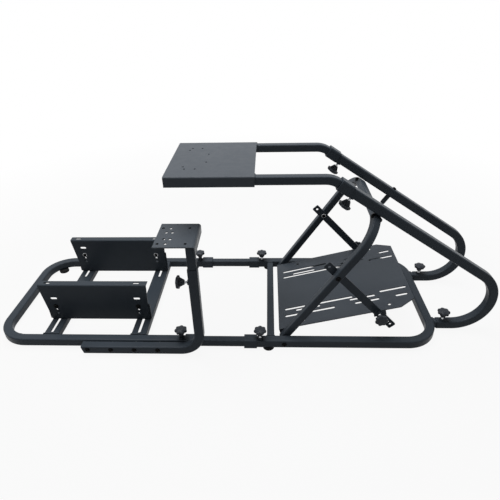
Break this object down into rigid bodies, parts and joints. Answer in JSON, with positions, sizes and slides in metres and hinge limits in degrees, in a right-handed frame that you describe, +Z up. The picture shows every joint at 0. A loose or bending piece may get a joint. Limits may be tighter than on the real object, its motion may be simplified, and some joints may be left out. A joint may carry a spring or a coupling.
{
  "type": "sim racing cockpit frame",
  "caption": "Telescoping steel floor frame with a sliding wheel deck, sloped pedal plate, shifter post and side brackets for a seat, clamped with star knobs.",
  "frame": {"origin": "on the floor, in the middle of the outer box", "axes": "+X the way the driver faces, +Y the driver's left, +Z up"},
  "size_m": [1.694, 0.555, 0.577],
  "materials": {
    "frame_paint": "satin black powder coat",
    "sheet_paint": "satin black powder coat on sheet steel",
    "knob_plastic": "moulded black plastic",
    "foot_rubber": "matte black rubber",
    "zinc": "zinc plated"
  },
  "bodies": {
    "pedal_frame": {"pedal_loop": "frame_paint", "pedal_cross_tube": "frame_paint", "pedal_collar_right": "frame_paint", "pedal_collar_left": "frame_paint", "arm_right": "frame_paint", "arm_left": "frame_paint", "arm_collar_right": "frame_paint", "arm_collar_left": "frame_paint", "arm_stub_right": "frame_paint", "arm_stub_left": "frame_paint", "hoop": "frame_paint", "plate_strap_right": "sheet_paint", "plate_strap_left": "sheet_paint", "pedal_plate": "sheet_paint", "pedal_feet": "foot_rubber", "pedal_rail_knobs": "knob_plastic", "arm_stub_knobs": "knob_plastic", "arm_mouth_knobs": "knob_plastic", "strap_knobs": "knob_plastic"},
    "link_tubes": {"link_tube_right": "frame_paint", "link_tube_left": "frame_paint"},
    "seat_frame": {"seat_loop": "frame_paint", "seat_collar_right": "frame_paint", "seat_collar_left": "frame_paint", "seat_bar_front": "sheet_paint", "seat_bar_rear": "sheet_paint", "seat_bracket_right": "sheet_paint", "seat_bracket_left": "sheet_paint", "bracket_clips_right": "sheet_paint", "bracket_clips_left": "sheet_paint", "shifter_post": "frame_paint", "shifter_spacers": "zinc", "seat_feet": "foot_rubber", "seat_rail_knobs": "knob_plastic", "shifter_knob": "knob_plastic"},
    "wheel_deck": {"fork_right": "frame_paint", "fork_left": "frame_paint", "wheel_plate": "sheet_paint"},
    "shifter_head": {"shifter_inner_post": "frame_paint", "shifter_plate": "sheet_paint"}
  },
  "joints": [
    {"name": "link_slide", "type": "slide", "parent": "pedal_frame", "child": "link_tubes", "axis": [1, 0, 0], "range_m": [-0.06, 0.04]},
    {"name": "seat_slide", "type": "slide", "parent": "link_tubes", "child": "seat_frame", "axis": [1, 0, 0], "range_m": [-0.06, 0.07]},
    {"name": "deck_slide", "type": "slide", "parent": "pedal_frame", "child": "wheel_deck", "axis": [-0.8339, 0, 0.5519], "range_m": [0, 0.15]},
    {"name": "shifter_slide", "type": "slide", "parent": "seat_frame", "child": "shifter_head", "axis": [0, 0, 1], "range_m": [-0.04, 0.08]}
  ]
}
